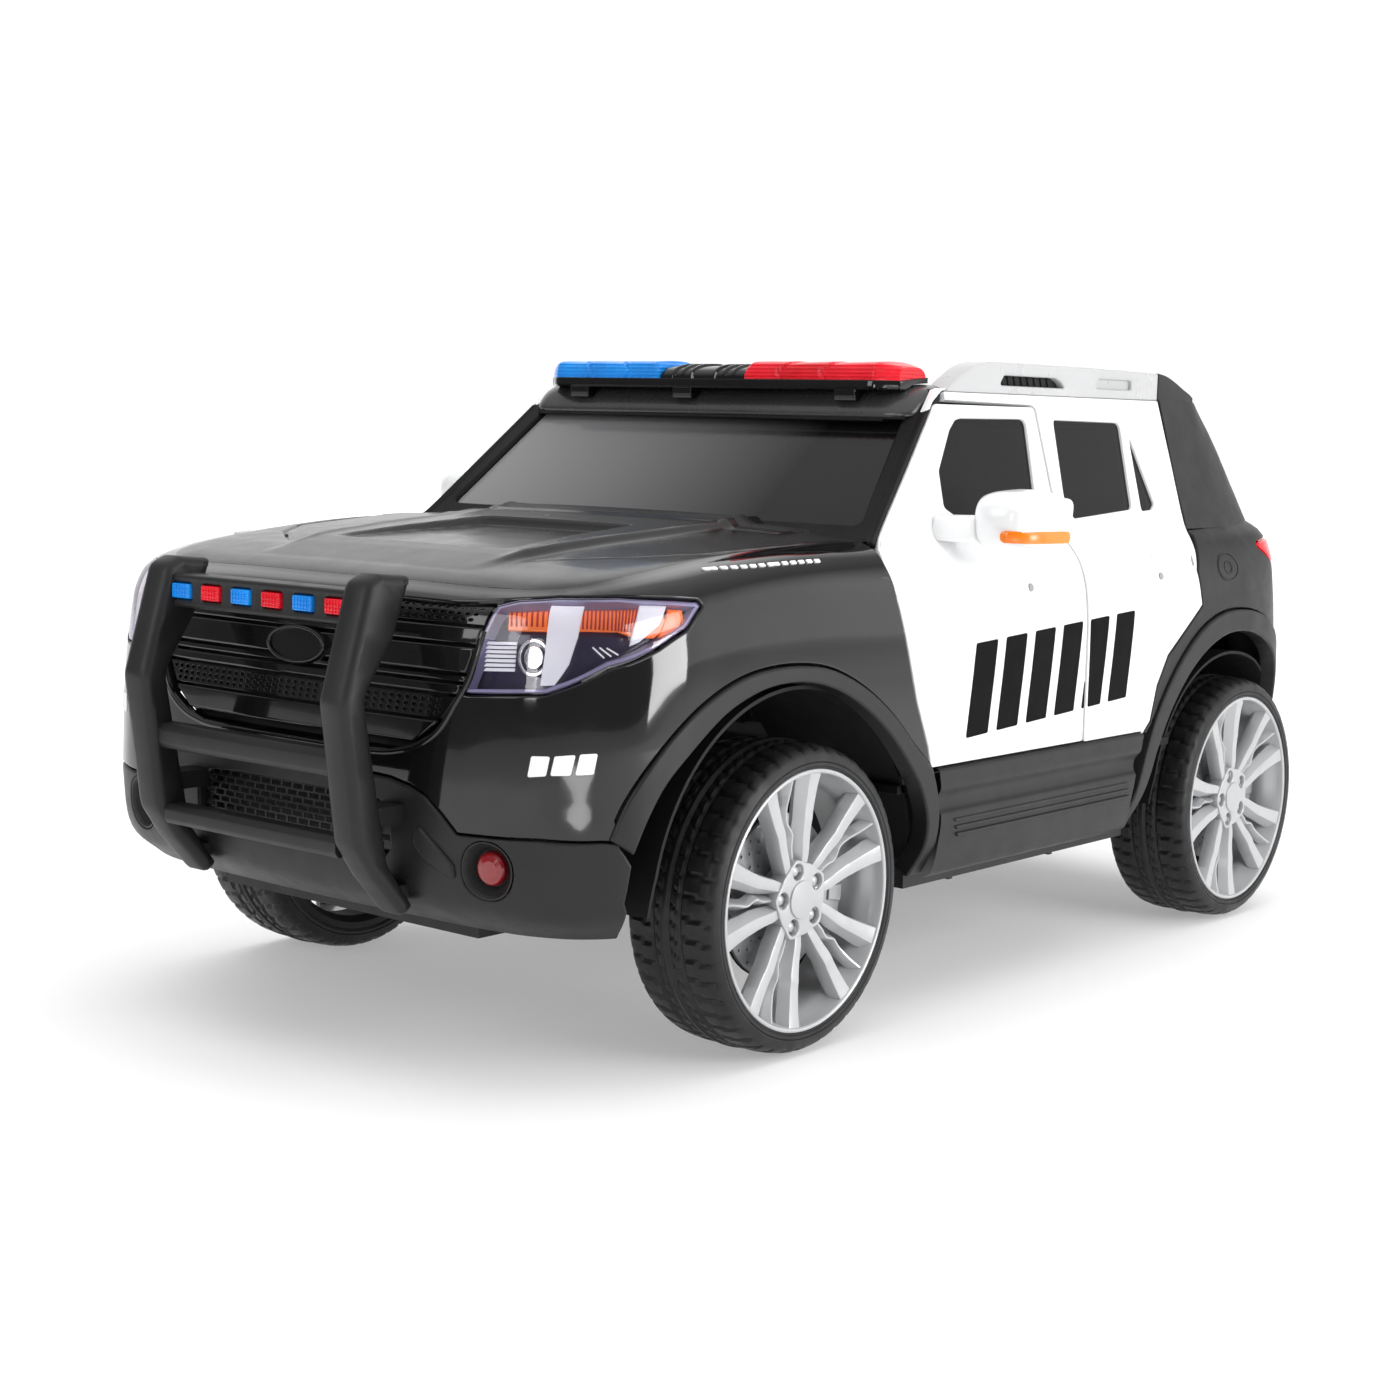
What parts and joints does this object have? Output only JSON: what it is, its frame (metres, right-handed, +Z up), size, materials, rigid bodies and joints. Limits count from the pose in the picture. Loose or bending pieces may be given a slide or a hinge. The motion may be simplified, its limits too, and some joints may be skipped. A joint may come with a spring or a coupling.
{
  "type": "ride-on toy patrol car",
  "caption": "Child's battery ride-on patrol car with opening doors, linked steering, push bar, roof light bar and free-turning wheels.",
  "frame": {"origin": "on the ground under the middle of the whole car, between push bar and tail", "axes": "+X forward, +Y to the car's left, +Z up"},
  "size_m": [1.25, 0.714, 0.558],
  "materials": {
    "black_gloss": "high gloss",
    "black_satin": "satin, fine grain",
    "white_gloss": "gloss",
    "smoked": "smoked clear plastic",
    "clear_lens": "clear lens",
    "blue_lens": "tinted lens",
    "red_lens": "tinted lens",
    "tyre": "soft tyre",
    "rim_silver": "silver paint",
    "steel": "zinc plated",
    "seat": "moulded seat",
    "battery": "sealed case"
  },
  "bodies": {
    "body": {"bonnet": "black_gloss", "front_body": "black_gloss", "grille": "black_gloss", "windscreen_frame": "black_gloss", "light_bar_base": "black_gloss", "front_bumper": "black_satin", "front_arch_flares": "black_satin", "rear_arch_flares": "black_satin", "sill_steps": "black_satin", "rear_body": "black_satin", "tailgate": "black_satin", "rear_bumper": "black_satin", "push_bar": "black_satin", "floor_tub": "black_satin", "front_arch_liners": "black_satin", "rear_arch_liners": "black_satin", "rail_end_caps": "black_satin", "dashboard": "black_satin", "steering_column": "black_satin", "load_deck": "black_satin", "accelerator_pedal": "black_satin", "motor_gearboxes": "black_satin", "left_side_panel": "white_gloss", "right_side_panel": "white_gloss", "roof_rails": "white_gloss", "windscreen": "smoked", "rear_side_windows": "smoked", "rear_window": "smoked", "headlights": "clear_lens", "fog_lamps": "red_lens", "tail_lamps": "red_lens", "light_bar_red_lens": "red_lens", "push_bar_red_lamps": "red_lens", "light_bar_blue_lens": "blue_lens", "push_bar_blue_lamps": "blue_lens", "front_axle_beam": "steel", "rear_axle": "steel", "seat": "seat", "battery": "battery"},
    "left_door": {"left_door": "white_gloss", "left_door_window": "smoked", "left_mirror": "white_gloss"},
    "right_door": {"right_door": "white_gloss", "right_door_window": "smoked", "right_mirror": "white_gloss"},
    "left_knuckle": {"left_knuckle": "steel"},
    "right_knuckle": {"right_knuckle": "steel"},
    "tie_rod": {"tie_rod": "steel"},
    "steering_wheel": {"steering_wheel": "black_satin"},
    "front_left_wheel": {"front_left_tyre": "tyre", "front_left_rim": "rim_silver"},
    "front_right_wheel": {"front_right_tyre": "tyre", "front_right_rim": "rim_silver"},
    "rear_left_wheel": {"rear_left_tyre": "tyre", "rear_left_rim": "rim_silver"},
    "rear_right_wheel": {"rear_right_tyre": "tyre", "rear_right_rim": "rim_silver"}
  },
  "joints": [
    {"name": "left_door_swing", "type": "hinge", "parent": "body", "child": "left_door", "pos_m": [0.172, 0.297, 0.3], "axis": [0, 0, -1], "range_deg": [0, 60]},
    {"name": "right_door_swing", "type": "hinge", "parent": "body", "child": "right_door", "pos_m": [0.172, -0.297, 0.3], "axis": [0, 0, 1], "range_deg": [0, 60]},
    {"name": "left_steer", "type": "hinge", "parent": "body", "child": "left_knuckle", "pos_m": [0.291, 0.195, 0.156], "axis": [0, 0, 1], "range_deg": [-25, 25]},
    {"name": "right_steer", "type": "hinge", "parent": "body", "child": "right_knuckle", "pos_m": [0.291, -0.195, 0.156], "axis": [0, 0, 1], "range_deg": [-25, 25]},
    {"name": "tie_rod_swing", "type": "hinge", "parent": "left_knuckle", "child": "tie_rod", "pos_m": [0.231, 0.195, 0.1875], "axis": [0, 0, 1], "range_deg": [-25, 25]},
    {"name": "steering_wheel_turn", "type": "hinge", "parent": "body", "child": "steering_wheel", "pos_m": [0.025, 0, 0.355], "axis": [-0.7748, 0, 0.6322], "range_deg": [-35, 35]},
    {"name": "front_left_wheel_spin", "type": "hinge", "parent": "left_knuckle", "child": "front_left_wheel", "pos_m": [0.291, 0.259, 0.125], "axis": [0, 1, 0], "continuous": true},
    {"name": "front_right_wheel_spin", "type": "hinge", "parent": "right_knuckle", "child": "front_right_wheel", "pos_m": [0.291, -0.259, 0.125], "axis": [0, 1, 0], "continuous": true},
    {"name": "rear_left_wheel_spin", "type": "hinge", "parent": "body", "child": "rear_left_wheel", "pos_m": [-0.444, 0.259, 0.125], "axis": [0, 1, 0], "continuous": true},
    {"name": "rear_right_wheel_spin", "type": "hinge", "parent": "body", "child": "rear_right_wheel", "pos_m": [-0.444, -0.259, 0.125], "axis": [0, 1, 0], "continuous": true}
  ],
  "couplings": [
    {"joint": "right_steer", "follows": "left_steer", "ratio": 1},
    {"joint": "tie_rod_swing", "follows": "left_steer", "ratio": -1},
    {"joint": "steering_wheel_turn", "follows": "left_steer", "ratio": 1.4}
  ]
}
